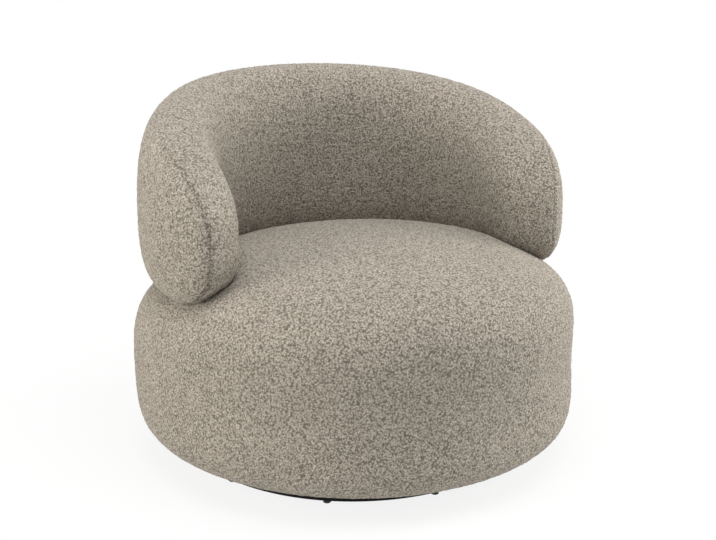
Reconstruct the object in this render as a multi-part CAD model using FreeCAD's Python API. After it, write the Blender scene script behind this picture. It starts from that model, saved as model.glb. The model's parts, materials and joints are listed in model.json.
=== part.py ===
import FreeCAD
import Part
import math
import os

# Upholstered tub chair on a swivel base, in millimetres.
# Origin on the floor at the swivel axis, +Z up, the sitter faces -Y.

V = FreeCAD.Vector
UP = V(0, 0, 1)

# Base plate and glides
plate_radius = 311.0
plate_thickness = 18.0
plate_edge_bevel = 1.5
glide_count = 10
glide_radius = 7.0
glide_height = 5.0
glide_edge_bevel = 1.0
glide_inset = 8.0           # glide centre from the plate's rim
glide_turn = 3.0            # degrees the base is turned from square

# Swivel bearing
bearing_sheet = 3.0
lower_race_radius = 118.0
upper_race_radius = 140.0
skirt_inner_radius = 122.0
skirt_drop = 9.0
roller_radius = 3.95
roller_length = 12.0
roller_pitch_radius = 94.0
roller_count = 8
roller_play = 0.05          # between a roller and each race
cage_thickness = 3.0
cage_inner_radius = 82.0
cage_outer_radius = 106.0
cage_window_width = 7.8
pivot_radius = 8.0
pivot_play = 0.4
pivot_head_flats = 24.0
pivot_head_height = 8.0
plate_centre_hole = 18.0
board_centre_hole = 24.0

# Screws
screw_radius = 2.2
screw_head_flats = 8.0
screw_head_height = 3.0
screw_play = 0.1
screw_count = 4             # in each race plate
lower_screw_circle = 55.0
upper_screw_circle = 132.5
screw_bite = 15.0           # length of a screw in the wood

# Seat frame
board_radius = 286.0
board_thickness = 18.0
side_panel_setback = 22.0   # from the board's rim in to a side panel's outer face
side_panel_thickness = 4.0
seat_post_count = 8
seat_post_width = 40.0
seat_post_depth = 36.0
ring_inner_radius = 225.0
ring_setback = 62.0         # from the drum's widest line in to the ring's rim
ring_thickness = 18.0
ring_top_height = 300.0
web_width = 50.0
web_thickness = 2.0
web_pitch = 70.0
web_count = 5
web_landing = 41.0          # of the webbing on the seat ring
web_tab_length = 30.0
dust_cover_thickness = 1.0
dust_cover_lap = 15.0       # under the cover, beyond its opening
dust_cover_play = 6.0       # round the upper race plate

# Seat drum, the round padded body
drum_radius = 410.0
waist_height = 184.0        # level where the drum is widest
crown_height = 411.0        # top of the seat over the swivel axis
crown_flatness = 3.5
crown_roundness = 1.8
crown_shift = 94.0          # the crown sits this far forward, so the seat falls to the back
drum_sides = 48
sole_height = 30.0
sole_radius = 255.0
belly_flatness = 4.5
belly_roundness = 2.6
belly_shift = 26.0          # the lower roll sits this far forward
cover_opening_radius = 225.0

# Back and arms, one padded band that wraps the drum
back_height = 685.0
band_mid_height = 452.0     # level of the arm tips
band_bottom_height = 314.0
band_side_setback = 83.0    # from the drum's widest line in to the band's centre line, at the sides
band_back_setback = 94.0    # and at the back and front
band_centre_y = -26.0
band_thickness = 140.0
arm_end_angle = 115.0       # degrees from the middle of the back to an arm tip
band_lean = -2.7            # sideways shift of the section for each 100 mm of height
top_fall = 2.16
top_roundness = 1.88
bottom_fall = 7.07
bottom_roundness = 3.65
tip_roundness = 16.0
section_roundness = 2.74
section_sides = 16

# Frame inside the back
back_post_angles = (-100.0, -70.0, -35.0, 0.0, 35.0, 70.0, 100.0)
back_post_width = 44.0
back_post_depth = 28.0
rail_end_angle = 98.5
rail_cover = 50.0           # padding over the top rail
top_rail_height = 24.0
rail_lip = 3.0              # of the top rail, on the inner side of the posts
post_in_rail = 10.0
notch = 2.0                 # how deep the posts are let into rail and panel
bottom_rail_height = 30.0
bottom_rail_depth = 20.0
bottom_rail_lift = 34.0     # above the underside of the band
panel_thickness = 6.0
panel_drop = 4.0            # the panel ends this far below the top rail's top

# Upholstery
cover_thickness = 3.0
padding_play = 0.35
band_play = 0.4

# Sizes and levels that follow from the ones above
ring_outer_radius = drum_radius - ring_setback
band_half_width = drum_radius - band_side_setback   # half axes of its elliptical centre line, seen from above
band_half_depth = drum_radius - band_back_setback
side_panel_reach = board_radius - side_panel_setback
web_reach = ring_inner_radius + web_landing
dust_cover_radius = cover_opening_radius + dust_cover_lap
dust_cover_hole = upper_race_radius + dust_cover_play
plate_top = glide_height + plate_thickness
lower_race_top = plate_top + bearing_sheet
roller_height = lower_race_top + roller_radius + roller_play
upper_race_bottom = roller_height + roller_radius + roller_play
board_bottom = upper_race_bottom + bearing_sheet
board_top = board_bottom + board_thickness
ring_bottom = ring_top_height - ring_thickness
web_top = ring_top_height + 2 * web_thickness
foam_inset = cover_thickness + padding_play

# Shares of the way from the waist to the sole and to the crown where sections lie
belly_steps = (0.998, 0.98, 0.955, 0.91, 0.84, 0.74, 0.58, 0.35)
crown_steps = (0.0, 0.28, 0.46, 0.61, 0.74, 0.845, 0.92, 0.965, 0.988, 0.9975)
lining_belly_steps = (0.998, 0.955, 0.84, 0.58)
lining_crown_steps = (0.0, 0.46, 0.74, 0.92, 0.988)

# Shares of the way from the middle of the back to an arm tip where sections lie
band_steps = (0.12, 0.24, 0.36, 0.48, 0.60, 0.71, 0.81, 0.89, 0.945, 0.98, 0.9985)
rail_steps = 14


def polar(radius, degrees, z=0.0):
    """A point at an angle counted from the front, towards +X."""
    a = math.radians(degrees)
    return V(radius * math.sin(a), -radius * math.cos(a), z)


def disc(radius, z0, z1, hole=0.0):
    """A round plate between two levels, with an optional centre hole."""
    shape = Part.makeCylinder(radius, z1 - z0, V(0, 0, z0))
    if hole:
        shape = shape.cut(Part.makeCylinder(hole, z1 - z0, V(0, 0, z0)))
    return shape


def hexagon(flats, z0, z1):
    """A hexagon bar on the axis."""
    corner = flats / math.sqrt(3)
    points = [V(corner * math.cos(math.pi * k / 3), corner * math.sin(math.pi * k / 3), z0) for k in range(7)]
    return Part.Face(Part.makePolygon(points)).extrude(V(0, 0, z1 - z0))


def revolved(profile):
    """A solid of revolution from (radius, height) corners."""
    points = [V(r, 0, z) for r, z in profile]
    face = Part.Face(Part.makePolygon(points + points[:1]))
    return face.revolve(V(0, 0, 0), UP, 360)


def screw(point, length, pointing_up):
    """A hexagon screw whose head's bearing face is at the point."""
    head = hexagon(screw_head_flats, -screw_head_height, 0)
    shape = head.fuse(Part.makeCylinder(screw_radius, length))
    if not pointing_up:
        shape.rotate(V(0, 0, 0), V(1, 0, 0), 180)
    shape.translate(point)
    return shape


def cut_all(shape, tools):
    """The shape with every tool cut away."""
    return shape.cut(Part.makeCompound(tools)) if tools else shape


def flat_faced(form):
    """The same form with each four-sided face as two flat triangles, so that it meshes with few facets."""
    faces = []
    for face in form.Faces:
        corners = [vertex.Point for vertex in face.OuterWire.OrderedVertexes]
        if len(corners) == 4:
            faces.append(Part.Face(Part.makePolygon([corners[0], corners[1], corners[2], corners[0]])))
            faces.append(Part.Face(Part.makePolygon([corners[0], corners[2], corners[3], corners[0]])))
        else:
            faces.append(Part.Face(Part.makePolygon(corners + corners[:1])))
    return Part.Solid(Part.Shell(faces))


def loft_through(rings):
    """A loft with straight sides through closed rings of points."""
    return flat_faced(Part.makeLoft([Part.makePolygon(ring + ring[:1]) for ring in rings], True, True))


def belly_profile(t):
    """Radius and height of the drum a share t of the way from its waist down to its sole."""
    bulge = (1 - t ** belly_flatness) ** (1 / belly_roundness)
    return sole_radius + (drum_radius - sole_radius) * bulge, waist_height - (waist_height - sole_height) * t


def crown_profile(t):
    """Radius and height of the drum a share t of the way from its waist up to its crown."""
    bulge = (1 - t ** crown_flatness) ** (1 / crown_roundness)
    return drum_radius * bulge, waist_height + (crown_height - waist_height) * t


def drum_ring(profile, t, inset):
    """The drum's outline at one level, moved inwards square to its surface."""
    step = 1e-4
    r0, z0 = profile(max(t - step, 0.0))
    r1, z1 = profile(t + step)
    slope = math.hypot(r1 - r0, z1 - z0)
    r, z = profile(t)
    r_in = r - inset * abs(z1 - z0) / slope
    z_in = z - inset * math.copysign(abs(r1 - r0) / slope, z1 - z0)
    forward = belly_shift * t if profile is belly_profile else crown_shift * t ** 2
    turns = [2 * math.pi * k / drum_sides for k in range(drum_sides)]
    return [V(r_in * math.sin(a), -forward - r_in * math.cos(a), z_in) for a in turns]


def drum_form(inset, belly, crown):
    """The whole drum, inset by the given depth, as a loft up through its rings."""
    rings = [drum_ring(belly_profile, t, inset) for t in belly]
    rings += [drum_ring(crown_profile, t, inset) for t in crown]
    return loft_through(rings)


def band_centre(angle):
    """Point and outward direction on the band's centre line, by the angle from the middle of the back."""
    a = math.radians(angle)
    point = V(band_half_width * math.sin(a), band_centre_y + band_half_depth * math.cos(a), 0)
    outward = V(band_half_depth * math.sin(a), band_half_width * math.cos(a), 0)
    outward.normalize()
    return point, outward


def band_levels(u, inset=0.0):
    """Top, bottom and half thickness of the band a share u of the way to an arm tip."""
    far = abs(u)
    top = back_height - inset - band_mid_height
    drop = band_mid_height - band_bottom_height - inset
    z_top = band_mid_height + top * (1 - far ** top_fall) ** (1 / top_roundness)
    z_bottom = band_mid_height - drop * (1 - far ** bottom_fall) ** (1 / bottom_roundness)
    half = (band_thickness / 2 - inset) * math.sqrt(1 - far ** tip_roundness)
    return z_top, z_bottom, half


def band_ring(u, inset):
    """The band's closed outline at one place, from a rounded rectangle's formula."""
    reach = arm_end_angle - math.degrees(2 * inset / (band_half_width + band_half_depth))
    centre, outward = band_centre(reach * u)
    z_top, z_bottom, half = band_levels(u, inset)
    ring = []
    for k in range(section_sides):
        a = 2 * math.pi * k / section_sides
        c, s = math.cos(a), math.sin(a)
        z = (z_top + z_bottom) / 2 + (z_top - z_bottom) / 2 * math.copysign(abs(s) ** (2 / section_roundness), s)
        across = half * math.copysign(abs(c) ** (2 / section_roundness), c)
        across += band_lean * (z - band_mid_height) / 100
        ring.append(centre + outward * across + UP * z)
    return ring


def band_form(inset):
    """The whole back and arms, inset by the given depth."""
    steps = [-u for u in reversed(band_steps)] + [0.0] + list(band_steps)
    return loft_through([band_ring(u, inset) for u in steps])


def band_strip(inner, outer, low, high):
    """A curved timber strip inside the band. low and high give its levels at a share of the way to the tip."""
    rings = []
    for k in range(rail_steps + 1):
        angle = rail_end_angle * (2 * k / rail_steps - 1)
        u = angle / arm_end_angle
        centre, outward = band_centre(angle)
        rings.append([
            centre + outward * inner + UP * low(u),
            centre + outward * outer + UP * low(u),
            centre + outward * outer + UP * high(u),
            centre + outward * inner + UP * high(u),
        ])
    return loft_through(rings)


def rail_top(u):
    return band_levels(u)[0] - rail_cover


def rail_bottom(u):
    return rail_top(u) - top_rail_height


def make_base():
    """Base plate with its glides."""
    low_rim = plate_radius - plate_edge_bevel
    plate = revolved([
        (plate_centre_hole, glide_height),
        (low_rim, glide_height),
        (plate_radius, glide_height + plate_edge_bevel),
        (plate_radius, plate_top - plate_edge_bevel),
        (low_rim, plate_top),
        (plate_centre_hole, plate_top),
    ])
    glides = []
    for k in range(glide_count):
        bevel = Part.makeCone(glide_radius - glide_edge_bevel, glide_radius, glide_edge_bevel)
        pad = bevel.fuse(Part.makeCylinder(glide_radius, glide_height - glide_edge_bevel, V(0, 0, glide_edge_bevel)))
        pad.translate(polar(plate_radius - glide_inset, glide_turn + 360.0 * k / glide_count))
        glides.append(pad)
    return {"base_plate": plate, "floor_glides": Part.makeCompound(glides)}


def make_race(plate, circle, face, pointing_up):
    """A race plate drilled for its ring of screws, and the screws. face is the level under their heads."""
    screws = []
    holes = []
    for k in range(screw_count):
        place = polar(circle, 360.0 * (k + 0.5) / screw_count, face)
        screws.append(screw(place, bearing_sheet + screw_bite, pointing_up))
        bottom = place if pointing_up else place - UP * bearing_sheet
        holes.append(Part.makeCylinder(screw_radius + screw_play, bearing_sheet, bottom))
    return cut_all(plate, holes), Part.makeCompound(screws)


def make_bearing():
    """Flat roller bearing between the base plate and the seat's bottom board."""
    lower = disc(lower_race_radius, plate_top, lower_race_top, pivot_radius + screw_play)
    lower, lower_screws = make_race(lower, lower_screw_circle, lower_race_top, False)
    upper = revolved([
        (pivot_radius + pivot_play, upper_race_bottom),
        (skirt_inner_radius, upper_race_bottom),
        (skirt_inner_radius, upper_race_bottom - skirt_drop),
        (skirt_inner_radius + bearing_sheet, upper_race_bottom - skirt_drop),
        (skirt_inner_radius + bearing_sheet, upper_race_bottom),
        (upper_race_radius, upper_race_bottom),
        (upper_race_radius, board_bottom),
        (pivot_radius + pivot_play, board_bottom),
    ])
    upper, upper_screws = make_race(upper, upper_screw_circle, upper_race_bottom, True)

    half_cage = cage_thickness / 2
    cage = disc(cage_outer_radius, roller_height - half_cage, roller_height + half_cage, cage_inner_radius)
    rollers = []
    windows = []
    for k in range(roller_count):
        start = V(0, -roller_pitch_radius - roller_length / 2, roller_height)
        roller = Part.makeCylinder(roller_radius, roller_length, start, V(0, 1, 0))
        window = Part.makeBox(cage_window_width, roller_length, 2 * cage_thickness,
                              start - V(cage_window_width / 2, 0, cage_thickness))
        for shape in (roller, window):
            shape.rotate(V(0, 0, 0), UP, 360.0 * k / roller_count)
        rollers.append(roller)
        windows.append(window)

    nut_bottom = board_bottom + pivot_play
    nut_top = nut_bottom + pivot_head_height
    head = hexagon(pivot_head_flats, plate_top - pivot_head_height, plate_top)
    nut = hexagon(pivot_head_flats, nut_bottom, nut_top)
    return {
        "lower_race_plate": lower,
        "lower_race_screws": lower_screws,
        "pivot_bolt": head.fuse(disc(pivot_radius, plate_top, nut_top)),
        "pivot_nut": nut.cut(disc(pivot_radius, nut_bottom, nut_top)),
        "roller_cage": cut_all(cage, windows),
        "thrust_rollers": Part.makeCompound(rollers),
        "upper_race_plate": upper,
        "upper_race_screws": upper_screws,
    }


def octagon(reach, z0, z1):
    """An upright prism with one flat side for each seat post, whose outer faces lie at the reach."""
    corner = reach / math.cos(math.pi / seat_post_count)
    points = [polar(corner, 360.0 * k / seat_post_count, z0) for k in range(seat_post_count + 1)]
    return Part.Face(Part.makePolygon(points)).extrude(V(0, 0, z1 - z0))


def make_seat_frame():
    """Bottom board, uprights, side panels, ring and webbing inside the drum."""
    nodes = {}
    post_face = side_panel_reach - side_panel_thickness
    panels = []
    for k in range(seat_post_count):
        angle = 360.0 * (k + 0.5) / seat_post_count
        post = Part.makeBox(seat_post_width, seat_post_depth, ring_bottom - board_top,
                            V(-seat_post_width / 2, -post_face, board_top))
        post.rotate(V(0, 0, 0), UP, angle)
        nodes["seat_post_%d" % (k + 1)] = post
        outer = side_panel_reach * math.tan(math.pi / seat_post_count)
        inner = post_face * math.tan(math.pi / seat_post_count)
        corners = [
            V(-outer, -side_panel_reach, board_top),
            V(outer, -side_panel_reach, board_top),
            V(inner, -post_face, board_top),
            V(-inner, -post_face, board_top),
        ]
        panel = Part.Face(Part.makePolygon(corners + corners[:1])).extrude(V(0, 0, ring_bottom - board_top))
        panel.rotate(V(0, 0, 0), UP, angle)
        panels.append(panel)
    nodes["bottom_board"] = disc(board_radius, board_bottom, board_top, board_centre_hole)
    nodes["side_panels"] = Part.makeCompound(panels)
    nodes["seat_ring"] = disc(ring_outer_radius, ring_bottom, ring_top_height, ring_inner_radius)

    lengthwise = []
    crosswise = []
    for k in range(web_count):
        offset = web_pitch * (k - (web_count - 1) / 2)
        half = math.sqrt(web_reach ** 2 - (abs(offset) + web_width / 2) ** 2)
        side = offset - web_width / 2
        lengthwise.append(Part.makeBox(web_width, 2 * half, web_thickness, V(side, -half, ring_top_height)))
        strap = Part.makeBox(2 * half, web_width, web_thickness, V(-half, side, ring_top_height + web_thickness))
        for x in (-half, half - web_tab_length):
            tab = Part.makeBox(web_tab_length, web_width, web_thickness, V(x, side, ring_top_height))
            strap = strap.fuse(tab)
        crosswise.append(strap.removeSplitter())
    nodes["webbing_lengthwise"] = Part.makeCompound(lengthwise)
    nodes["webbing_crosswise"] = Part.makeCompound(crosswise)
    nodes["dust_cover"] = disc(dust_cover_radius, cover_sole() - dust_cover_thickness, cover_sole(), dust_cover_hole)
    return nodes


def cover_sole():
    """Level of the flat underside of the drum's cover."""
    return belly_profile(belly_steps[0])[1]


def back_posts(grow=0.0):
    """The uprights in the back, from the seat ring into the top rail."""
    posts = []
    for angle in back_post_angles:
        centre, outward = band_centre(angle)
        top = rail_bottom(angle / arm_end_angle) + post_in_rail
        post = Part.makeBox(back_post_depth + 2 * grow, back_post_width + 2 * grow, top - ring_top_height,
                            V(-back_post_depth / 2 - grow, -back_post_width / 2 - grow, ring_top_height))
        post.rotate(V(0, 0, 0), UP, math.degrees(math.atan2(outward.y, outward.x)))
        post.translate(centre)
        posts.append(post)
    return posts


def make_back_frame():
    """Uprights, two curved rails and the bent outer panel of the back."""
    nodes = {}
    posts = back_posts()
    half = back_post_depth / 2
    low = band_bottom_height + bottom_rail_lift
    for k, post in enumerate(posts):
        nodes["back_post_%d" % (k + 1)] = post
    top_rail = band_strip(-half - rail_lip, half - notch, rail_bottom, rail_top)
    bottom_rail = band_strip(-half - bottom_rail_depth, -half + notch, lambda u: low,
                             lambda u: low + bottom_rail_height)
    panel = band_strip(half - notch, half - notch + panel_thickness, lambda u: low,
                       lambda u: rail_top(u) - panel_drop)
    nodes["back_top_rail"] = cut_all(top_rail, posts)
    nodes["back_bottom_rail"] = cut_all(bottom_rail, posts)
    nodes["back_panel"] = cut_all(panel, posts)
    return nodes


def seam_prism():
    """The upright prism whose wall is the seam between the back's two covers, run on past the arm tips."""
    angles = [arm_end_angle * u for u in band_steps]
    angles = [-a for a in reversed(angles)] + [0.0] + angles
    points = [band_centre(a)[0] for a in angles]
    for first, second, place in ((points[0], points[1], 0), (points[-1], points[-2], len(points) + 1)):
        ahead = first - second
        ahead.normalize()
        points.insert(place, first + ahead * band_thickness)
    return Part.Face(Part.makePolygon(points + points[:1])).extrude(UP * (back_height + band_thickness))


def make_upholstery(frame):
    """Foam and covers of the drum and of the back."""
    nodes = {}
    room_for_band = band_form(-band_play)
    post_room = back_posts(padding_play)

    padding = drum_form(foam_inset, lining_belly_steps, lining_crown_steps)
    wide = 3 * drum_radius
    corner = V(-wide / 2, -wide / 2, 0)
    below = Part.makeBox(wide, wide, ring_top_height, corner)
    above = Part.makeBox(wide, wide, wide, corner + UP * ring_top_height)
    opening = disc(cover_opening_radius, 0, board_bottom)
    nodes["side_foam"] = cut_all(padding.common(below), [
        opening,
        disc(board_radius, board_bottom, board_top),
        octagon(side_panel_reach, board_top, ring_bottom),
        disc(ring_outer_radius, ring_bottom, ring_top_height),
    ])
    webbing_room = disc(web_reach, ring_top_height, web_top)
    nodes["seat_foam"] = cut_all(padding.common(above).cut(room_for_band), [webbing_room] + post_room)

    cover = drum_form(0.0, belly_steps, crown_steps)
    cover = cover.cut(drum_form(cover_thickness, lining_belly_steps, lining_crown_steps))
    nodes["seat_cover"] = cut_all(cover.cut(room_for_band).cut(opening), post_room)

    nodes["back_foam"] = cut_all(band_form(foam_inset), frame)
    shell = band_form(0.0).cut(band_form(cover_thickness))
    shell = cut_all(shell, post_room)
    prism = seam_prism()
    nodes["back_cover_inner"] = shell.common(prism)
    nodes["back_cover_outer"] = shell.cut(prism)
    return nodes


def main():
    nodes = {}
    nodes.update(make_base())
    nodes.update(make_bearing())
    nodes.update(make_seat_frame())
    back_frame = make_back_frame()
    nodes.update(back_frame)
    nodes.update(make_upholstery(list(back_frame.values())))
    os.makedirs("parts", exist_ok=True)
    for name, shape in nodes.items():
        solids = shape.Solids
        body = solids[0] if len(solids) == 1 else Part.makeCompound(solids)
        body.exportStep("parts/%s.step" % name)
        print("%-20s %2d solids  valid %s  %10.1f cm3" % (name, len(solids), body.isValid(), body.Volume / 1000))


main()
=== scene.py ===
import bpy
import json
import math
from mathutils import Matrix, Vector, noise


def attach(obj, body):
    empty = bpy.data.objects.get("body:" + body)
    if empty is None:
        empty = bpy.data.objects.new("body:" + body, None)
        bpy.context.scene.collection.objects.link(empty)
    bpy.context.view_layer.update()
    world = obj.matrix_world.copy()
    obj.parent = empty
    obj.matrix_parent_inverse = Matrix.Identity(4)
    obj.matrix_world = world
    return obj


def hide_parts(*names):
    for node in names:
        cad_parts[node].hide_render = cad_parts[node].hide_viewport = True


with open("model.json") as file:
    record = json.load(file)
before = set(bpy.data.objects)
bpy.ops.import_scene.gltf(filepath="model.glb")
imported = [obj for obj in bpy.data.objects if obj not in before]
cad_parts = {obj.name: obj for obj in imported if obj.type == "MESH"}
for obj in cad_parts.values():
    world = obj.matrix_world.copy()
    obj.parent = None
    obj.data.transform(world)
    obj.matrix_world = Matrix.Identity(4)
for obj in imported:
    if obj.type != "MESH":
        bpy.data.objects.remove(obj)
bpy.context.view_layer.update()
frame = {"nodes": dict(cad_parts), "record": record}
nodes = frame["nodes"]
print("frame loaded:", len(nodes), "CAD nodes")


def deselectAll():
    if bpy.context.object and bpy.context.object.mode != "OBJECT":
        bpy.ops.object.mode_set(mode="OBJECT")
    bpy.ops.object.select_all(action="DESELECT")


def makeActive(piece):
    deselectAll()
    piece.select_set(True)
    bpy.context.view_layer.objects.active = piece


def finishAtOrigin(piece):
    makeActive(piece)
    bpy.ops.object.transform_apply(location=True, rotation=True, scale=True)


# camera, same view as the photo
photoView = {
    "from": (-0.8750, -1.9070, 0.8945),
    "to": (0.0088, -0.0041, 0.3256),
    "lens": 58.46,
    "sensor": 36.0,
    "farthest": 50,
}


def setCamera(view):
    deselectAll()
    bpy.ops.object.camera_add(location=view["from"])
    cam = bpy.context.object
    cam.name = "photoCamera"
    aim = Vector(view["to"]) - Vector(view["from"])
    cam.rotation_euler = aim.to_track_quat("-Z", "Y").to_euler()
    cam.data.lens = view["lens"]
    cam.data.sensor_width = view["sensor"]
    cam.data.clip_end = view["farthest"]
    bpy.context.scene.camera = cam


setCamera(photoView)
print("camera set")


# node groups shared by the materials
def startGroup(name, inputs, outputs):
    group = bpy.data.node_groups.new(name, "ShaderNodeTree")
    for label, kind, value in inputs:
        socket = group.interface.new_socket(name=label, in_out="INPUT", socket_type="NodeSocket" + kind)
        if value is not None:
            socket.default_value = value
    for label, kind in outputs:
        group.interface.new_socket(name=label, in_out="OUTPUT", socket_type="NodeSocket" + kind)
    groupIn = group.nodes.new("NodeGroupInput")
    groupOut = group.nodes.new("NodeGroupOutput")
    return group, groupIn, groupOut


def fillSocket(tree, socket, value):
    # a number or a colour is typed in, and another node's output is linked
    if isinstance(value, (int, float, tuple)):
        socket.default_value = value
    else:
        tree.links.new(value, socket)


def addMath(tree, operation, first, second=None, third=None, clamp=False):
    node = tree.nodes.new("ShaderNodeMath")
    node.operation = operation
    node.use_clamp = clamp
    for slotIndex, value in enumerate((first, second, third)):
        if value is not None:
            fillSocket(tree, node.inputs[slotIndex], value)
    return node.outputs[0]


def addVectorMath(tree, operation, first):
    node = tree.nodes.new("ShaderNodeVectorMath")
    node.operation = operation
    tree.links.new(first, node.inputs[0])
    return node


def addMix(tree, share, first, second):
    node = tree.nodes.new("ShaderNodeMix")
    node.data_type = "RGBA"
    fillSocket(tree, node.inputs["Factor"], share)
    fillSocket(tree, node.inputs["A"], first)
    fillSocket(tree, node.inputs["B"], second)
    return [s for s in node.outputs if s.type == "RGBA"][0]


def addNoise(tree, place, scale, detail=2.0, roughness=0.5):
    node = tree.nodes.new("ShaderNodeTexNoise")
    tree.links.new(place, node.inputs["Vector"])
    fillSocket(tree, node.inputs["Scale"], scale)
    node.inputs["Detail"].default_value = detail
    node.inputs["Roughness"].default_value = roughness
    return node.outputs["Fac"]


finishOutputs = [("Color", "Color"), ("Height", "Float"), ("Roughness", "Float")]

loopPileMix = {
    "twistScale": 1.1, "twistReach": 1.5, "domeFall": -1.25,
    "hairScale": 1.6, "hairRoughness": 0.65, "hairGain": 2.0,
    "patchesPerMetre": 9.0, "patchShare": 0.14,
    "nubShare": 0.16, "floor": 0.12, "domeShare": 0.62, "middle": 0.45,
    "domeHeight": 0.7, "hairHeight": 0.5, "roughest": 1.0, "roughnessFall": -0.06,
}


def buildLoopPile(look):
    # curled yarn: broad nubs come in as a value, the curls, gaps and hairs are added here; the gaps and the
    # curls' edges get a painted shade, darker than the yarn on the curls' tops
    group, gIn, gOut = startGroup("loopPile", [
        ("Place", "Vector", None), ("Nub", "Float", 0.5), ("Curls Per Metre", "Float", 210.0),
        ("Yarn", "Color", (0.5, 0.45, 0.36, 1)), ("Gap Shade", "Color", (0.1, 0.09, 0.07, 1)),
        ("Hairs", "Float", 0.35), ("Contrast", "Float", 1.6)], finishOutputs)
    place = gIn.outputs["Place"]
    perMetre = gIn.outputs["Curls Per Metre"]
    curlSize = addMath(group, "DIVIDE", 1.0, perMetre)
    twist = group.nodes.new("ShaderNodeTexNoise")
    group.links.new(place, twist.inputs["Vector"])
    group.links.new(addMath(group, "MULTIPLY", perMetre, look["twistScale"]), twist.inputs["Scale"])
    centred = addVectorMath(group, "SUBTRACT", twist.outputs["Color"])
    centred.inputs[1].default_value = (0.5, 0.5, 0.5)
    drift = addVectorMath(group, "SCALE", centred.outputs["Vector"])
    group.links.new(addMath(group, "MULTIPLY", curlSize, look["twistReach"]), drift.inputs["Scale"])
    bent = addVectorMath(group, "ADD", place)
    group.links.new(drift.outputs["Vector"], bent.inputs[1])
    curls = group.nodes.new("ShaderNodeTexVoronoi")
    group.links.new(bent.outputs["Vector"], curls.inputs["Vector"])
    group.links.new(perMetre, curls.inputs["Scale"])
    dome = addMath(group, "MULTIPLY_ADD", curls.outputs["Distance"], look["domeFall"], 1.0, clamp=True)
    hairScale = addMath(group, "MULTIPLY", perMetre, look["hairScale"])
    hairs = addNoise(group, place, hairScale, roughness=look["hairRoughness"])
    patches = addNoise(group, place, look["patchesPerMetre"])
    nubPart = addMath(group, "MULTIPLY_ADD", gIn.outputs["Nub"], look["nubShare"], look["floor"])
    curlPart = addMath(group, "ADD", nubPart, addMath(group, "MULTIPLY", dome, look["domeShare"]))
    hairPart = addMath(group, "MULTIPLY", addMath(group, "SUBTRACT", hairs, 0.5), gIn.outputs["Hairs"])
    total = addMath(group, "ADD", curlPart, addMath(group, "MULTIPLY", hairPart, look["hairGain"]))
    fromMiddle = addMath(group, "SUBTRACT", total, look["middle"])
    sharp = addMath(group, "MULTIPLY_ADD", fromMiddle, gIn.outputs["Contrast"], 0.5)
    patchPart = addMath(group, "MULTIPLY_ADD", patches, look["patchShare"], -look["patchShare"] / 2)
    lit = addMath(group, "ADD", sharp, patchPart, clamp=True)
    # the colour runs from the painted shade in the gaps to the yarn's own tone on the curls
    colour = addMix(group, lit, gIn.outputs["Gap Shade"], gIn.outputs["Yarn"])
    domeRise = addMath(group, "MULTIPLY", dome, look["domeHeight"])
    height = addMath(group, "ADD", domeRise, addMath(group, "MULTIPLY", hairs, look["hairHeight"]))
    roughness = addMath(group, "MULTIPLY_ADD", lit, look["roughnessFall"], look["roughest"])
    group.links.new(colour, gOut.inputs["Color"])
    group.links.new(height, gOut.inputs["Height"])
    group.links.new(roughness, gOut.inputs["Roughness"])
    return group


woodGrainMix = {
    "stretch": (1.0, 1.0, 0.08), "ringDetail": 3.0, "ringRoughness": 0.65,
    "poresPerMetre": 900.0, "poreDetail": 1.0, "roughest": 0.8, "roughnessFall": -0.2,
}


def buildWoodGrain(look):
    group, gIn, gOut = startGroup("woodGrain", [
        ("Place", "Vector", None), ("Light", "Color", (0.5, 0.36, 0.2, 1)),
        ("Dark", "Color", (0.3, 0.19, 0.1, 1)),
        ("Rings Per Metre", "Float", 60.0), ("Fleck", "Float", 0.3)], finishOutputs)
    stretch = group.nodes.new("ShaderNodeMapping")
    stretch.inputs["Scale"].default_value = look["stretch"]
    group.links.new(gIn.outputs["Place"], stretch.inputs["Vector"])
    along = stretch.outputs["Vector"]
    rings = addNoise(group, along, gIn.outputs["Rings Per Metre"], look["ringDetail"], look["ringRoughness"])
    pores = addNoise(group, along, look["poresPerMetre"], look["poreDetail"])
    fleck = addMath(group, "MULTIPLY", addMath(group, "SUBTRACT", pores, 0.5), gIn.outputs["Fleck"])
    share = addMath(group, "ADD", rings, fleck, clamp=True)
    roughness = addMath(group, "MULTIPLY_ADD", share, look["roughnessFall"], look["roughest"])
    group.links.new(addMix(group, share, gIn.outputs["Dark"], gIn.outputs["Light"]), gOut.inputs["Color"])
    group.links.new(share, gOut.inputs["Height"])
    group.links.new(roughness, gOut.inputs["Roughness"])
    return group


fineSpeckleMix = {
    "grainRoughness": 0.6, "marksPerMetre": 35.0, "markDetail": 4.0, "markRoughness": 0.7,
    "markGain": 3.0, "markCut": -1.4, "roughnessSpread": 0.16,
}


def buildFineSpeckle(look):
    # moulded, painted and plated surfaces: fine mottling and rubbed marks
    group, gIn, gOut = startGroup("fineSpeckle", [
        ("Place", "Vector", None), ("Base", "Color", (0.05, 0.05, 0.05, 1)),
        ("Rubbed", "Color", (0.2, 0.2, 0.2, 1)), ("Grains Per Metre", "Float", 900.0),
        ("Marks", "Float", 0.2), ("Roughness Mean", "Float", 0.45)], finishOutputs)
    place = gIn.outputs["Place"]
    grains = addNoise(group, place, gIn.outputs["Grains Per Metre"], roughness=look["grainRoughness"])
    marks = addNoise(group, place, look["marksPerMetre"], look["markDetail"], look["markRoughness"])
    markShare = addMath(group, "MULTIPLY_ADD", marks, look["markGain"], look["markCut"], clamp=True)
    rubbed = addMath(group, "MULTIPLY", markShare, gIn.outputs["Marks"])
    spread = addMath(group, "MULTIPLY_ADD", grains, look["roughnessSpread"], -look["roughnessSpread"] / 2)
    roughness = addMath(group, "ADD", gIn.outputs["Roughness Mean"], spread, clamp=True)
    group.links.new(addMix(group, rubbed, gIn.outputs["Base"], gIn.outputs["Rubbed"]), gOut.inputs["Color"])
    group.links.new(grains, gOut.inputs["Height"])
    group.links.new(roughness, gOut.inputs["Roughness"])
    return group


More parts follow.
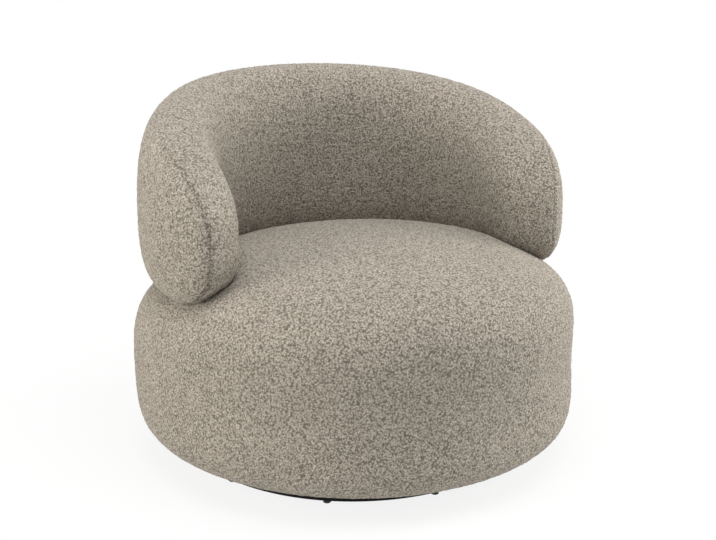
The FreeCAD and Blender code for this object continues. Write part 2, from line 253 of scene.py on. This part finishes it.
plainWeaveMix = {"fullTurn": 6.2832, "threadShare": 0.5, "roughest": 0.95, "roughnessFall": -0.1}


def buildPlainWeave(look):
    group, gIn, gOut = startGroup("plainWeave", [
        ("Place", "Vector", None), ("Thread", "Color", (0.06, 0.06, 0.06, 1)),
        ("Hole", "Color", (0.01, 0.01, 0.01, 1)), ("Threads Per Metre", "Float", 900.0)], finishOutputs)
    axes = group.nodes.new("ShaderNodeSeparateXYZ")
    group.links.new(gIn.outputs["Place"], axes.inputs["Vector"])
    waves = []
    for label in ("X", "Y", "Z"):
        threads = addMath(group, "MULTIPLY", axes.outputs[label], gIn.outputs["Threads Per Metre"])
        wave = addMath(group, "SINE", addMath(group, "MULTIPLY", threads, look["fullTurn"]))
        waves.append(addMath(group, "ABSOLUTE", wave))
    together = addMath(group, "ADD", addMath(group, "ADD", waves[0], waves[1]), waves[2])
    share = addMath(group, "MULTIPLY", together, look["threadShare"], clamp=True)
    roughness = addMath(group, "MULTIPLY_ADD", share, look["roughnessFall"], look["roughest"])
    group.links.new(addMix(group, share, gIn.outputs["Hole"], gIn.outputs["Thread"]), gOut.inputs["Color"])
    group.links.new(share, gOut.inputs["Height"])
    group.links.new(roughness, gOut.inputs["Roughness"])
    return group


groups = {
    "loopPile": buildLoopPile(loopPileMix),
    "woodGrain": buildWoodGrain(woodGrainMix),
    "fineSpeckle": buildFineSpeckle(fineSpeckleMix),
    "plainWeave": buildPlainWeave(plainWeaveMix),
}
print("node groups built:", len(groups))


# materials
sheenRoughness = 0.5


def rgba(colour):
    return (colour[0], colour[1], colour[2], 1.0)


def makeMaterial(name, groupName, values, bump, metallic=0.0, sheen=0.0, specular=0.4, nubFrom=None):
    # bump is (strength, depth in metres), and nubFrom names the attribute that carries the pile's height
    material = bpy.data.materials.new(name)
    material.use_nodes = True
    tree = material.node_tree
    shader = tree.nodes["Principled BSDF"]
    coords = tree.nodes.new("ShaderNodeTexCoord")
    pattern = tree.nodes.new("ShaderNodeGroup")
    pattern.node_tree = groups[groupName]
    tree.links.new(coords.outputs["Object"], pattern.inputs["Place"])
    for label, value in values.items():
        pattern.inputs[label].default_value = rgba(value) if isinstance(value, tuple) else value
    if nubFrom:
        attribute = tree.nodes.new("ShaderNodeAttribute")
        attribute.attribute_name = nubFrom
        tree.links.new(attribute.outputs["Fac"], pattern.inputs["Nub"])
    relief = tree.nodes.new("ShaderNodeBump")
    relief.inputs["Strength"].default_value = bump[0]
    relief.inputs["Distance"].default_value = bump[1]
    tree.links.new(pattern.outputs["Height"], relief.inputs["Height"])
    tree.links.new(relief.outputs["Normal"], shader.inputs["Normal"])
    tree.links.new(pattern.outputs["Color"], shader.inputs["Base Color"])
    tree.links.new(pattern.outputs["Roughness"], shader.inputs["Roughness"])
    shader.inputs["Metallic"].default_value = metallic
    shader.inputs["Sheen Weight"].default_value = sheen
    shader.inputs["Sheen Roughness"].default_value = sheenRoughness
    shader.inputs["Specular IOR Level"].default_value = specular
    return material


boucleLook = {
    "Curls Per Metre": 300.0,
    "Yarn": (0.56, 0.507, 0.428),
    # painted shade in the gaps between the curls
    "Gap Shade": (0.135, 0.116, 0.091),
    "Hairs": 0.46,
    "Contrast": 1.85,
}
finishes = {
    "boucle": makeMaterial("boucle", "loopPile", boucleLook, bump=(0.9, 0.0020), sheen=0.12, nubFrom="nub"),
    "dust_cloth": makeMaterial("dustCloth", "plainWeave", {
        "Thread": (0.028, 0.028, 0.028), "Hole": (0.006, 0.006, 0.006), "Threads Per Metre": 700.0},
        bump=(0.4, 0.0004)),
    "webbing": makeMaterial("webbing", "plainWeave", {
        "Thread": (0.07, 0.07, 0.078), "Hole": (0.015, 0.015, 0.018), "Threads Per Metre": 350.0},
        bump=(0.6, 0.0008)),
    "foam": makeMaterial("foam", "fineSpeckle", {
        "Base": (0.72, 0.68, 0.52), "Rubbed": (0.62, 0.55, 0.38), "Grains Per Metre": 700.0, "Marks": 0.4,
        "Roughness Mean": 0.9}, bump=(0.5, 0.0008)),
    "timber": makeMaterial("timber", "woodGrain", {
        "Light": (0.55, 0.40, 0.24), "Dark": (0.36, 0.23, 0.12), "Rings Per Metre": 55.0},
        bump=(0.25, 0.0005)),
    "plywood": makeMaterial("plywood", "woodGrain", {
        "Light": (0.58, 0.44, 0.27), "Dark": (0.42, 0.29, 0.16), "Rings Per Metre": 30.0},
        bump=(0.2, 0.0004)),
    "fibreboard": makeMaterial("fibreboard", "fineSpeckle", {
        "Base": (0.22, 0.14, 0.085), "Rubbed": (0.34, 0.23, 0.14), "Grains Per Metre": 1400.0, "Marks": 0.5,
        "Roughness Mean": 0.72}, bump=(0.3, 0.0003)),
    "black_board": makeMaterial("blackBoard", "fineSpeckle", {
        "Base": (0.004, 0.004, 0.0042), "Rubbed": (0.016, 0.0155, 0.015), "Grains Per Metre": 1100.0,
        "Marks": 0.3, "Roughness Mean": 0.62}, bump=(0.25, 0.0003), specular=0.15),
    "glide_plastic": makeMaterial("glidePlastic", "fineSpeckle", {
        "Base": (0.012, 0.012, 0.012), "Rubbed": (0.06, 0.058, 0.055), "Grains Per Metre": 2500.0,
        "Marks": 0.4, "Roughness Mean": 0.38}, bump=(0.2, 0.0001)),
    "cage_nylon": makeMaterial("cageNylon", "fineSpeckle", {
        "Base": (0.62, 0.60, 0.52), "Rubbed": (0.42, 0.39, 0.31), "Grains Per Metre": 1500.0, "Marks": 0.3,
        "Roughness Mean": 0.4}, bump=(0.15, 0.0002)),
    "zinc_steel": makeMaterial("zincSteel", "fineSpeckle", {
        "Base": (0.56, 0.56, 0.57), "Rubbed": (0.38, 0.37, 0.35), "Grains Per Metre": 600.0, "Marks": 0.5,
        "Roughness Mean": 0.32}, bump=(0.15, 0.0002), metallic=1.0),
}
print("materials made:", len(finishes))

slotOfNode = {s["node"]: s["material_slot"] for s in frame["record"]["subparts"]}
for nodeName, cadPiece in nodes.items():
    finish = finishes[slotOfNode[nodeName]]
    if not cadPiece.material_slots:
        cadPiece.data.materials.append(finish)
    for held in cadPiece.material_slots:
        held.material = finish


# padded pieces
padMaking = {
    "inside": 0.0015, "voxel": 0.006, "pressure": 4.0, "stretchStiffness": 20, "bendingStiffness": 2,
    "quality": 2, "lastMoment": 12, "mostSwell": 0.0035, "mostSlide": 0.001,
    "smoothing": 0.5, "smoothingRounds": 2,
}
drumShape = {
    "radius": 0.410, "waist": 0.184, "sides": 72,
    "crown": 0.411, "crownFlatness": 3.5, "crownRoundness": 1.8, "crownForward": 0.094,
    "crownRings": 22, "crownSpread": 0.6, "crownEnd": 0.9992,
    "sole": 0.030, "soleRadius": 0.255, "bellyFlatness": 6.0, "bellyRoundness": 2.15, "bellyForward": 0.026,
    "bellyRings": 14, "bellySpread": 0.45, "bellyEnd": 0.9995,
    "openingRadius": 0.225, "openingDepth": 0.011, "soleSlack": 0.001,
    # the flattened pile underneath also paints the underside darker: painted shade under the seat
    "heldBelow": 0.05, "bareBelow": 0.045, "undersideRadius": 0.262, "undersidePile": 0.12,
}
bandShape = {
    "top": 0.685, "middle": 0.452, "bottom": 0.314, "halfWidth": 0.327, "halfDepth": 0.316, "centreY": -0.026,
    "thickness": 0.140, "endAngle": 115.0, "lean": -0.027, "topFall": 2.16, "topRoundness": 1.88,
    "bottomFall": 7.07, "bottomRoundness": 3.65, "tipRoundness": 16.0, "tipShare": 0.99985,
    "sectionRoundness": 2.74, "steps": 56, "sides": 40,
    "blankRadius": 0.06, "blankTurn": 2.0, "blankWeld": 0.0001,
}
# the seam's lowered pile also darkens its colour: painted shade in the groove
seamLook = {
    "outwards": 0.030, "depth": 0.0018, "halfWidth": 0.0019, "pileLostAndShade": 0.8,
    "deepFrom": 98.0, "deepWithin": 9.0, "onCrest": 0.45,
    "ridge": 0.0075, "ridgeHalfWidth": 0.036, "ridgeSharpness": 1.25, "ridgeFrom": 84.0, "ridgeWithin": 22.0,
    "foot": 0.40, "footHeight": 0.08, "addedAtFoot": 0.7,
}
nubLook = {
    "size": 0.0070, "height": 0.0018, "middle": 0.35, "thinnest": 0.2, "gapWidth": 1.9, "gapPower": 0.7,
    "stray": 0.35, "strayScale": 3.7, "warp": 0.0026, "warpsPerMetre": 210.0,
}


def shareSteps(count, power):
    return [math.sin(math.pi / 2 * k / count) ** power for k in range(count + 1)]


def extrudeRing(ringRadius, lastRadius, step, centre):
    bpy.ops.mesh.extrude_region_move(TRANSFORM_OT_translate={"value": step})
    grow = ringRadius / lastRadius
    bpy.ops.transform.resize(value=(grow, grow, 1.0), center_override=centre)


def drumRings(shape, soleZ):
    # (radius, how far the ring sits along Y, height), from the opening underneath to the top of the seat
    rings = [(shape["openingRadius"], 0.0, shape["sole"] + shape["openingDepth"]),
             (shape["openingRadius"], 0.0, soleZ)]
    depth = shape["waist"] - shape["sole"]
    rise = shape["crown"] - shape["waist"]
    for t in reversed(shareSteps(shape["bellyRings"], shape["bellySpread"])[1:]):
        t = min(t, shape["bellyEnd"])
        bulge = (1 - t ** shape["bellyFlatness"]) ** (1 / shape["bellyRoundness"])
        radius = shape["soleRadius"] + (shape["radius"] - shape["soleRadius"]) * bulge
        rings.append((radius, -shape["bellyForward"] * t ** 2, shape["waist"] - depth * t))
    for t in shareSteps(shape["crownRings"], shape["crownSpread"]):
        t = min(t, shape["crownEnd"])
        radius = shape["radius"] * (1 - t ** shape["crownFlatness"]) ** (1 / shape["crownRoundness"])
        rings.append((radius, -shape["crownForward"] * t ** 2, shape["waist"] + rise * t))
    return rings


def modelDrum(shape, inside):
    deselectAll()
    soleZ = shape["sole"] + inside
    rings = drumRings(shape, soleZ)
    radius, forward, level = rings[0]
    bpy.ops.mesh.primitive_circle_add(vertices=shape["sides"], radius=radius, fill_type="NGON",
                                      location=(0, forward, level))
    drum = bpy.context.object
    bpy.ops.object.transform_apply(location=True, rotation=True, scale=True)
    bpy.ops.object.mode_set(mode="EDIT")
    bpy.ops.mesh.select_all(action="SELECT")
    for (r0, y0, z0), (r1, y1, z1) in zip(rings, rings[1:]):
        extrudeRing(r1, r0, (0, y1 - y0, z1 - z0), (0, y1, z1))
    bpy.ops.mesh.select_all(action="SELECT")
    bpy.ops.mesh.normals_make_consistent(inside=False)
    bpy.ops.object.mode_set(mode="OBJECT")
    pushOut(drum, -inside, lambda place: place.z < soleZ + shape["soleSlack"])
    return drum


def bandCentre(shape, angle):
    # a point of the band's middle line seen from above, and the direction away from the seat there
    sine = math.sin(angle)
    cosine = math.cos(angle)
    point = Vector((shape["halfWidth"] * sine, shape["centreY"] + shape["halfDepth"] * cosine, 0))
    outward = Vector((shape["halfDepth"] * sine, shape["halfWidth"] * cosine, 0)).normalized()
    return point, outward


def spinBandBlank(shape, meanRadius):
    # a plain round tube bent about Z, which modelBand then draws into the band's shape
    bpy.ops.mesh.primitive_circle_add(vertices=shape["sides"], radius=shape["blankRadius"], fill_type="NGON",
                                      location=(0, meanRadius, 0), rotation=(math.pi / 2, 0, math.pi / 2))
    blank = bpy.context.object
    bpy.ops.object.transform_apply(location=True, rotation=True, scale=True)
    bpy.ops.object.mode_set(mode="EDIT")
    bpy.ops.mesh.select_all(action="SELECT")
    bpy.ops.mesh.spin(steps=shape["steps"], angle=shape["blankTurn"], center=(0, 0, 0), axis=(0, 0, 1))
    bpy.ops.mesh.select_all(action="SELECT")
    bpy.ops.mesh.remove_doubles(threshold=shape["blankWeld"])
    bpy.ops.object.mode_set(mode="OBJECT")
    return blank


def modelBand(shape, inside):
    deselectAll()
    meanRadius = (shape["halfWidth"] + shape["halfDepth"]) / 2
    band = spinBandBlank(shape, meanRadius)
    turns = [math.atan2(v.co.x, v.co.y) for v in band.data.vertices]
    middleTurn = (min(turns) + max(turns)) / 2
    halfTurn = (max(turns) - min(turns)) / 2
    endAngle = math.radians(shape["endAngle"]) - 2 * inside / (shape["halfWidth"] + shape["halfDepth"])
    power = 2 / shape["sectionRoundness"]
    rise = shape["top"] - inside - shape["middle"]
    drop = shape["middle"] - shape["bottom"] - inside
    for vertex, turn in zip(band.data.vertices, turns):
        share = (turn - middleTurn) / halfTurn
        along = shape["tipShare"] * math.sin(math.pi / 2 * share)
        far = abs(along)
        fromAxis = math.hypot(vertex.co.x, vertex.co.y) - meanRadius
        sectionAngle = math.atan2(vertex.co.z, fromAxis)
        cosine = math.cos(sectionAngle)
        sine = math.sin(sectionAngle)
        zTop = shape["middle"] + rise * (1 - far ** shape["topFall"]) ** (1 / shape["topRoundness"])
        zBottom = shape["middle"] - drop * (1 - far ** shape["bottomFall"]) ** (1 / shape["bottomRoundness"])
        half = (shape["thickness"] / 2 - inside) * math.sqrt(1 - far ** shape["tipRoundness"])
        z = (zTop + zBottom) / 2 + (zTop - zBottom) / 2 * math.copysign(abs(sine) ** power, sine)
        across = half * math.copysign(abs(cosine) ** power, cosine) + shape["lean"] * (z - shape["middle"])
        point, outward = bandCentre(shape, endAngle * along)
        vertex.co = point + outward * across + Vector((0, 0, z))
    bpy.ops.object.mode_set(mode="EDIT")
    bpy.ops.mesh.select_all(action="DESELECT")
    bpy.ops.mesh.select_non_manifold()
    bpy.ops.mesh.edge_face_add()
    bpy.ops.mesh.select_all(action="SELECT")
    bpy.ops.mesh.normals_make_consistent(inside=False)
    bpy.ops.object.mode_set(mode="OBJECT")
    return band


def cutAwayBand(drum, cutter):
    # the band is let into the drum, so the drum's cover is hollowed where the band sits
    makeActive(drum)
    cut = drum.modifiers.new("bandChannel", "BOOLEAN")
    cut.operation = "DIFFERENCE"
    cut.solver = "EXACT"
    cut.object = cutter
    bpy.ops.object.modifier_apply(modifier=cut.name)
    bpy.data.objects.remove(cutter, do_unlink=True)


def pushOut(piece, distance, keepStill):
    # all normals are read first, because each move makes Blender work them out again
    normals = [v.normal.copy() for v in piece.data.vertices]
    for vertex, normal in zip(piece.data.vertices, normals):
        if not keepStill(vertex.co):
            vertex.co = vertex.co + normal * distance


def remeshEvenly(piece, voxel):
    makeActive(piece)
    piece.data.remesh_voxel_size = voxel
    bpy.ops.object.voxel_remesh()


def swellAsCloth(piece, making, keepStill):
    # air pressure rounds the pad, and no point may rise past mostSwell or slide past mostSlide
    rest = [v.co.copy() for v in piece.data.vertices]
    outward = [v.normal.copy() for v in piece.data.vertices]
    still = piece.vertex_groups.new(name="still")
    still.add([v.index for v in piece.data.vertices if keepStill(v.co)], 1.0, "REPLACE")
    makeActive(piece)
    cloth = piece.modifiers.new("puff", "CLOTH")
    cloth.settings.quality = making["quality"]
    cloth.settings.use_pressure = True
    cloth.settings.uniform_pressure_force = making["pressure"]
    cloth.settings.tension_stiffness = making["stretchStiffness"]
    cloth.settings.compression_stiffness = making["stretchStiffness"]
    cloth.settings.bending_stiffness = making["bendingStiffness"]
    cloth.settings.effector_weights.gravity = 0
    cloth.settings.vertex_group_mass = still.name
    cloth.collision_settings.use_collision = False
    cloth.point_cache.frame_start = 1
    cloth.point_cache.frame_end = making["lastMoment"]
    for moment in range(1, making["lastMoment"] + 1):
        bpy.context.scene.frame_set(moment)
    bpy.ops.object.modifier_apply(modifier=cloth.name)
    bpy.context.scene.frame_set(1)
    largest = 0.0
    for vertex, before, normal in zip(piece.data.vertices, rest, outward):
        move = vertex.co - before
        largest = max(largest, move.length)
        rise = move.dot(normal)
        slide = move - normal * rise
        if slide.length > making["mostSlide"]:
            slide = slide * (making["mostSlide"] / slide.length)
        vertex.co = before + slide + normal * max(0.0, min(rise, making["mostSwell"]))
    piece.vertex_groups.clear()
    print(piece.name, "swelled by up to", round(largest * 1000, 1), "mm before the cap")


def smoothAndSubdivide(piece, making):
    makeActive(piece)
    soften = piece.modifiers.new("soften", "SMOOTH")
    soften.factor = making["smoothing"]
    soften.iterations = making["smoothingRounds"]
    bpy.ops.object.modifier_apply(modifier=soften.name)
    finer = piece.modifiers.new("finer", "SUBSURF")
    finer.levels = 1
    finer.render_levels = 1
    bpy.ops.object.modifier_apply(modifier=finer.name)


def nubAt(place, look):
    # how high the curled yarn stands at a place, from 0 in a gap to 1 on a nub
    drift = noise.noise_vector(place * look["warpsPerMetre"]) * look["warp"]
    distances, points = noise.voronoi((place + drift) / look["size"])
    gap = min(1.0, (distances[1] - distances[0]) * look["gapWidth"])
    stray = 0.5 + 0.5 * noise.noise(points[0] * look["strayScale"])
    return gap ** look["gapPower"] * (1 - look["stray"] + look["stray"] * stray)


def growPile(piece, look, pileAt):
    # pileAt gives (share of the pile's height, move along the normal) for a point
    mesh = piece.data
    layer = mesh.attributes.new("nub", "FLOAT", "POINT")
    normals = [v.normal.copy() for v in mesh.vertices]
    values = []
    for vertex, normal in zip(mesh.vertices, normals):
        share, lift = pileAt(vertex.co)
        nub = nubAt(vertex.co, look) * share + share - 1.0
        stand = look["height"] * (nub - look["middle"]) * min(1.0, share + look["thinnest"])
        vertex.co = vertex.co + normal * (stand + lift)
        values.append(nub)
    layer.data.foreach_set("value", values)
    makeActive(piece)
    bpy.ops.object.shade_smooth()


def easeIn(share):
    share = min(1.0, max(0.0, share))
    return share * share * (3 - 2 * share)


def bandAcross(shape, place):
    # distance outwards from the band's middle line seen from above
    reach = math.radians(shape["endAngle"])
    angle = math.atan2(place.x / shape["halfWidth"], (place.y - shape["centreY"]) / shape["halfDepth"])
    held = max(-reach, min(reach, angle))
    point, outward = bandCentre(shape, held)
    return (place - point).dot(outward)


def drumStill(place):
    return place.z < drumShape["heldBelow"] and math.hypot(place.x, place.y) < drumShape["undersideRadius"]


def drumPile(place):
    # the cover is pulled flat where it is stapled underneath, and the flattened pile also darkens the colour
    # there, a painted shade under the seat
    if place.z < drumShape["bareBelow"] and math.hypot(place.x, place.y) < drumShape["undersideRadius"]:
        return drumShape["undersidePile"], 0.0
    return 1.0, 0.0


def bandStill(place):
    return False


def bandPile(place):
    # the two covers meet in a seam, faint on the crest, which stands on a low ridge on the arms' ends; the
    # lowered pile along the seam also darkens its colour, a painted shade in the groove
    turn = math.degrees(abs(math.atan2(place.x, place.y - bandShape["centreY"])))
    across = abs(bandAcross(bandShape, place) - seamLook["outwards"])
    groove = math.exp(-(across / seamLook["halfWidth"]) ** 2)
    deep = easeIn((turn - seamLook["deepFrom"]) / seamLook["deepWithin"])
    groove *= seamLook["onCrest"] + (1.0 - seamLook["onCrest"]) * deep
    ridge = max(0.0, 1.0 - across / seamLook["ridgeHalfWidth"]) ** seamLook["ridgeSharpness"]
    ridge *= seamLook["ridge"] * easeIn((turn - seamLook["ridgeFrom"]) / seamLook["ridgeWithin"])
    ridge *= 1.0 + seamLook["addedAtFoot"] * easeIn((seamLook["foot"] - place.z) / seamLook["footHeight"])
    # the lowered pile share paints the seam's groove darker: painted shade in the crease
    return 1.0 - seamLook["pileLostAndShade"] * groove, ridge - seamLook["depth"] * groove


def dress(piece, name, body, replaced):
    piece.name = name
    piece.data.name = name
    piece.data.materials.clear()
    piece.data.materials.append(finishes["boucle"])
    finishAtOrigin(piece)
    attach(piece, body)
    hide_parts(*replaced)


drum = modelDrum(drumShape, padMaking["inside"])
cutAwayBand(drum, modelBand(bandShape, -padMaking["inside"]))
band = modelBand(bandShape, padMaking["inside"])
print("drum and band modelled")
for padded, name, pileAt, keepStill in (
        (drum, "seatDrum", drumPile, drumStill),
        (band, "backAndArms", bandPile, bandStill)):
    padded.name = name
    remeshEvenly(padded, padMaking["voxel"])
    print(name, "remeshed:", len(padded.data.vertices), "points")
    swellAsCloth(padded, padMaking, keepStill)
    smoothAndSubdivide(padded, padMaking)
    growPile(padded, nubLook, pileAt)
    print(name, "covered:", len(padded.data.vertices), "points")

dress(drum, "seatDrum", "seat", ("seat_cover", "seat_foam", "side_foam"))
dress(band, "backAndArms", "seat", ("back_cover_inner", "back_cover_outer", "back_foam"))


# floor, world and lamps
stageLook = {
    "floorSize": 60.0, "floorColour": (0.86, 0.86, 0.86, 1), "white": (1, 1, 1, 1), "worldStrength": 0.40,
    "whiteNear": 0.86, "shadowRadius": 0.45, "whiteRadius": 1.3,
}


def seenDirectly(tree):
    path = tree.nodes.new("ShaderNodeLightPath")
    seen = addMath(tree, "MAXIMUM", path.outputs["Is Camera Ray"], path.outputs["Is Glossy Ray"])
    return addMath(tree, "MAXIMUM", seen, path.outputs["Is Transmission Ray"])


def layFloor(look):
    deselectAll()
    bpy.ops.mesh.primitive_plane_add(size=look["floorSize"], location=(0, 0, 0))
    floor = bpy.context.object
    floor.name = "studioFloor"
    paint = bpy.data.materials.new("studioFloor")
    paint.use_nodes = True
    tree = paint.node_tree
    shader = tree.nodes["Principled BSDF"]
    shader.inputs["Base Color"].default_value = look["floorColour"]
    shader.inputs["Roughness"].default_value = 1.0
    shader.inputs["Specular IOR Level"].default_value = 0.0
    glow = tree.nodes.new("ShaderNodeEmission")
    glow.inputs["Color"].default_value = look["white"]
    mix = tree.nodes.new("ShaderNodeMixShader")
    # the shadow shows near the chair, and the floor runs out to plain white around it
    coords = tree.nodes.new("ShaderNodeTexCoord")
    far = addVectorMath(tree, "LENGTH", coords.outputs["Object"])
    fade = tree.nodes.new("ShaderNodeMapRange")
    fade.interpolation_type = "SMOOTHSTEP"
    fade.inputs["From Min"].default_value = look["shadowRadius"]
    fade.inputs["From Max"].default_value = look["whiteRadius"]
    fade.inputs["To Min"].default_value = look["whiteNear"]
    tree.links.new(far.outputs["Value"], fade.inputs["Value"])
    tree.links.new(addMath(tree, "MULTIPLY", seenDirectly(tree), fade.outputs["Result"]), mix.inputs["Fac"])
    tree.links.new(shader.outputs["BSDF"], mix.inputs[1])
    tree.links.new(glow.outputs["Emission"], mix.inputs[2])
    tree.links.new(mix.outputs["Shader"], tree.nodes["Material Output"].inputs["Surface"])
    floor.data.materials.append(paint)


def lightWorld(look):
    world = bpy.data.worlds.new("paleStudio")
    bpy.context.scene.world = world
    world.use_nodes = True
    tree = world.node_tree
    background = tree.nodes["Background"]
    background.inputs["Color"].default_value = look["white"]
    level = tree.nodes.new("ShaderNodeMapRange")
    level.inputs["To Min"].default_value = look["worldStrength"]
    level.inputs["To Max"].default_value = 1.0
    tree.links.new(seenDirectly(tree), level.inputs["Value"])
    tree.links.new(level.outputs["Result"], background.inputs["Strength"])


lampAim = (0, 0, 0.3)
lamps = {
    "overheadSoft": {"place": (-0.2, -0.8, 3.0), "size": 2.4, "watts": 68, "tint": (1.0, 0.99, 1.0)},
    "leftSoft": {"place": (-3.2, 0.3, 1.1), "size": 2.0, "watts": 60, "tint": (1.0, 0.96, 0.87)},
    "rightSoft": {"place": (3.0, -0.6, 1.1), "size": 2.0, "watts": 70, "tint": (1.0, 0.98, 0.92)},
}


def hangLamp(name, lamp):
    deselectAll()
    bpy.ops.object.light_add(type="AREA", location=lamp["place"])
    light = bpy.context.object
    light.name = name
    light.data.shape = "DISK"
    light.data.size = lamp["size"]
    light.data.energy = lamp["watts"]
    light.data.color = lamp["tint"]
    aim = Vector(lampAim) - Vector(lamp["place"])
    light.rotation_euler = aim.to_track_quat("-Z", "Y").to_euler()


layFloor(stageLook)
lightWorld(stageLook)
for lampName, lampFacts in lamps.items():
    hangLamp(lampName, lampFacts)
bpy.context.scene.view_settings.view_transform = "Standard"
print("stage ready")

deselectAll()
